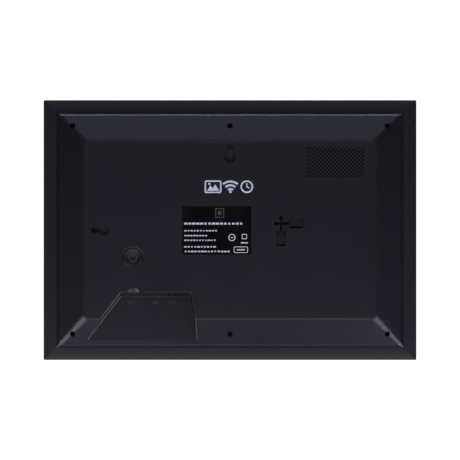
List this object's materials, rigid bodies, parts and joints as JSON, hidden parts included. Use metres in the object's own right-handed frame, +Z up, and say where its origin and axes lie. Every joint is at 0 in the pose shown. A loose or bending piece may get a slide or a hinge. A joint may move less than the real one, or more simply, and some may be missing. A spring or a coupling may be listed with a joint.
{
  "type": "digital photo frame",
  "caption": "Digital photo frame with a slab surround, a bevelled rear cover, keyholes for hanging either way up, a connector bay, a speaker grille and a sprung power button.",
  "frame": {"origin": "middle of the bottom edge of the bounding box, so the frame stands or hangs with its lowest edge at height zero", "axes": "+X along the width, +Y out of the rear panel (the picture faces -Y), +Z up in the landscape position"},
  "size_m": [0.261, 0.025, 0.182],
  "materials": {
    "frame_plastic": "fine matt texture, black",
    "cover_plastic": "satin, fine texture, black",
    "button_plastic": "polished black",
    "hidden_plastic": "matt dark grey",
    "white_plastic": "matt white",
    "black_film": "gloss black film",
    "touch_glass": "clear with a black printed border",
    "lcd_glass": "dark polarised glass",
    "diffuser": "translucent white",
    "acrylic": "clear acrylic",
    "steel": "zinc-plated",
    "black_screw": "black oxide",
    "tinned_steel": "tinned",
    "board": "green solder mask",
    "chip_plastic": "moulded black epoxy",
    "flex": "amber polyimide",
    "foam": "black foam",
    "cone_paper": "black treated paper",
    "copper": "enamelled copper wire",
    "lead_rubber": "matt black"
  },
  "bodies": {
    "housing": {"front_frame": "frame_plastic", "touch_glass": "touch_glass", "glass_tape": "black_film", "lcd_cell": "lcd_glass", "optical_films": "diffuser", "light_guide": "acrylic", "reflector_sheet": "white_plastic", "led_strip": "white_plastic", "backlight_frame": "hidden_plastic", "lcd_chassis": "steel", "display_flex": "flex", "touch_flex": "flex", "panel_retainer": "hidden_plastic", "retainer_screws": "black_screw", "insulation_sheet": "black_film", "main_board": "board", "processor": "chip_plastic", "memory_chips": "chip_plastic", "shield_can": "tinned_steel", "wifi_module": "tinned_steel", "power_inductors": "chip_plastic", "capacitors": "tinned_steel", "flex_connectors": "white_plastic", "speaker_connector": "white_plastic", "usb_socket": "tinned_steel", "card_socket": "tinned_steel", "power_inlet": "chip_plastic", "tact_switch": "chip_plastic", "board_screws": "steel", "rear_cover": "cover_plastic", "rear_screws": "black_screw", "keyhole_cap_top": "cover_plastic", "keyhole_cap_side": "cover_plastic", "stand_socket_cap": "cover_plastic", "speaker_frame": "hidden_plastic", "speaker_magnet": "steel", "speaker_gasket": "foam", "speaker_mesh": "foam", "speaker_screws": "steel", "speaker_lead": "lead_rubber", "antenna_board": "board", "antenna_lead": "lead_rubber", "rating_label": "black_film"},
    "button": {"power_button": "button_plastic", "switch_plunger": "chip_plastic"},
    "cone": {"speaker_cone": "cone_paper", "voice_coil": "copper"}
  },
  "joints": [
    {"name": "button_press", "type": "slide", "parent": "housing", "child": "button", "axis": [0, -1, 0], "range_m": [0, 0.0004], "stiffness_N_per_m": 400, "springref_m": -0.0005},
    {"name": "cone_travel", "type": "slide", "parent": "housing", "child": "cone", "axis": [0, 1, 0], "range_m": [-0.0004, 0.0004], "stiffness_N_per_m": 500}
  ]
}
